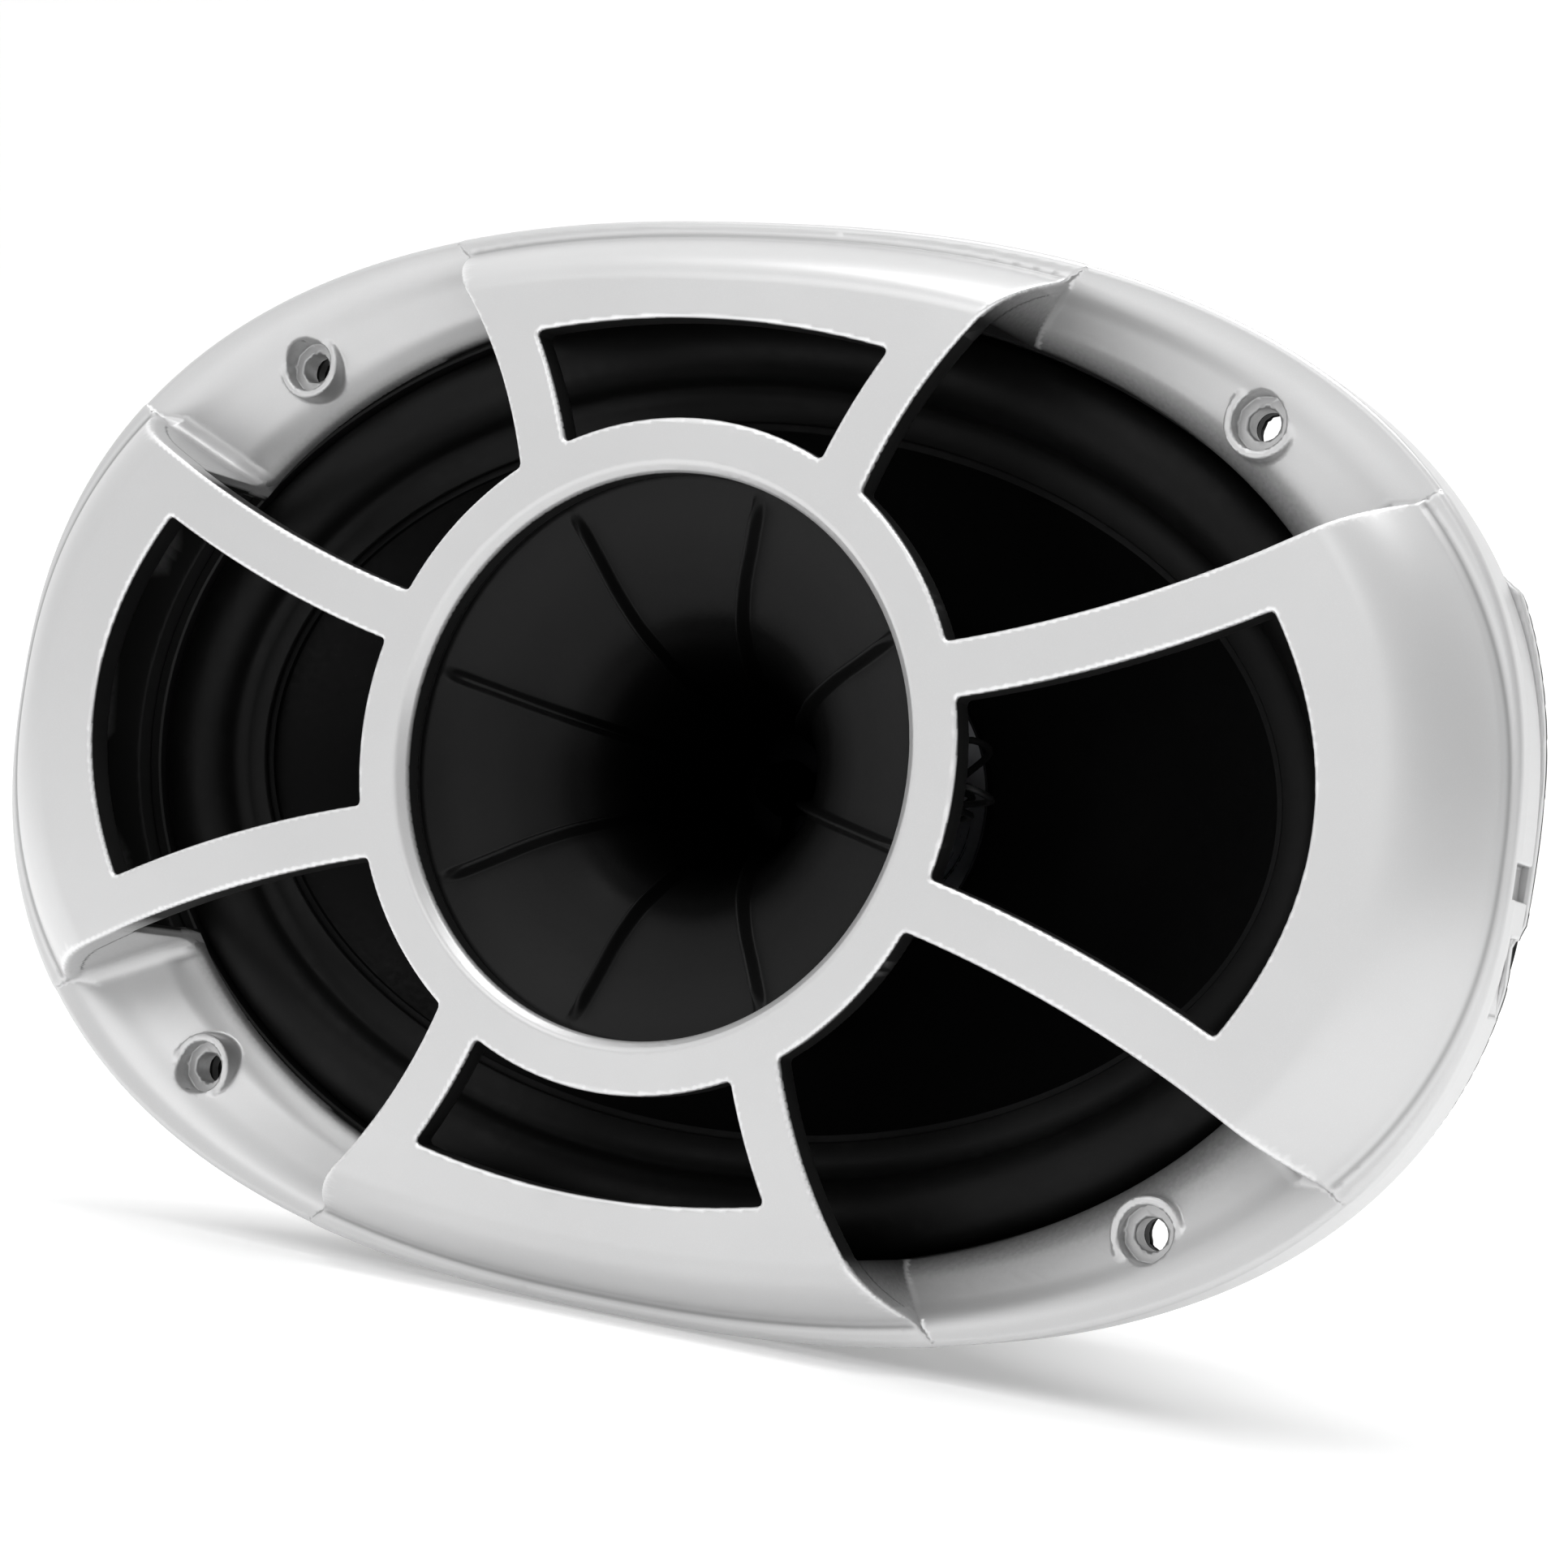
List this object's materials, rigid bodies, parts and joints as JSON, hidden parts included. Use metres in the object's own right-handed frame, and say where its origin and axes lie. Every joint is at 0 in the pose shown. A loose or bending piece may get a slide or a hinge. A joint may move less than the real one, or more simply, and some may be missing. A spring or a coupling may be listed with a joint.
{
  "type": "coaxial car speaker",
  "caption": "Oval coaxial car loudspeaker with a silver ring-and-spoke front, corner screw bosses and a horn-loaded tweeter over an oval cone; cone and tweeter diaphragm slide.",
  "frame": {"origin": "centre of the bounding box, which lies on the loudspeaker axis half way between the front of the grille and the back of the tweeter wires; the panel face is the plane Y = -0.0332 m", "axes": "+X along the long side of the oval, +Z along its short side, towards the crossover, and +Y along the speaker axis into the panel, so the front faces -Y"},
  "size_m": [0.2472, 0.1172, 0.1604],
  "materials": {
    "silver_paint": "satin silver paint sprayed from the front over a black moulding",
    "horn_plastic": "matte black",
    "foam": "soft closed-cell foam",
    "cone_poly": "satin black injection-moulded polypropylene",
    "rubber": "soft satin black rubber",
    "black_plastic": "moulded black",
    "basket_polymer": "moulded black glass-filled polymer",
    "screw_steel": "zinc-plated",
    "former_aluminium": "thin rolled foil, lightly brushed",
    "copper": "enamelled copper wire, wound",
    "spider_cloth": "pressed resin-treated cloth",
    "zinc_steel": "zinc-plated steel",
    "ferrite": "sintered grey ferrite",
    "neodymium": "nickel-plated",
    "titanium": "thin formed metal dome",
    "polyimide": "translucent amber film",
    "tinned_blade": "bright tinned plating",
    "board_green": "solder-masked fibreglass",
    "capacitor_film": "dipped component skin",
    "wire_red": "red wire sleeve",
    "wire_black": "black wire sleeve",
    "tinsel": "braided tinsel lead"
  },
  "bodies": {
    "frame": {"back_plate_and_pole": "zinc_steel", "basket": "basket_polymer", "basket_rivet_1": "screw_steel", "basket_rivet_2": "screw_steel", "basket_rivet_3": "screw_steel", "basket_rivet_4": "screw_steel", "crossover_board": "board_green", "crossover_capacitor": "capacitor_film", "crossover_resistor": "capacitor_film", "diaphragm_frame": "black_plastic", "driver_screw_1": "screw_steel", "driver_screw_2": "screw_steel", "driver_screw_3": "screw_steel", "grille": "silver_paint", "grille_screw_1": "screw_steel", "grille_screw_2": "screw_steel", "grille_screw_3": "screw_steel", "grille_screw_4": "screw_steel", "horn": "horn_plastic", "horn_gasket": "foam", "inductor_bobbin": "black_plastic", "inductor_winding": "copper", "magnet": "ferrite", "magnet_boot": "rubber", "mounting_gasket": "foam", "phase_plug": "horn_plastic", "spider": "spider_cloth", "stud_nut": "zinc_steel", "stud_washer": "zinc_steel", "surround": "rubber", "surround_clamp_ring": "black_plastic", "terminal_block": "black_plastic", "terminal_negative": "tinned_blade", "terminal_positive": "tinned_blade", "tinsel_lead_negative": "tinsel", "tinsel_lead_positive": "tinsel", "top_plate": "zinc_steel", "tweeter_magnet": "neodymium", "tweeter_pole_disc": "zinc_steel", "tweeter_pot": "zinc_steel", "tweeter_stud": "zinc_steel", "tweeter_suspension": "polyimide", "tweeter_wire_negative": "wire_black", "tweeter_wire_positive": "wire_red"},
    "cone_assembly": {"cone": "cone_poly", "voice_coil_former": "former_aluminium", "voice_coil_winding": "copper"},
    "tweeter_diaphragm_assembly": {"tweeter_diaphragm": "titanium", "tweeter_coil_former": "polyimide", "tweeter_winding": "copper"}
  },
  "joints": [
    {"name": "woofer_excursion", "type": "slide", "parent": "frame", "child": "cone_assembly", "axis": [0, -1, 0], "range_m": [-0.005, 0.005], "stiffness_N_per_m": 1500, "deforming": ["surround", "spider", "tinsel_lead_positive", "tinsel_lead_negative"]},
    {"name": "tweeter_excursion", "type": "slide", "parent": "frame", "child": "tweeter_diaphragm_assembly", "axis": [0, -1, 0], "range_m": [-0.0003, 0.0003], "stiffness_N_per_m": 8000, "deforming": ["tweeter_suspension"]}
  ]
}
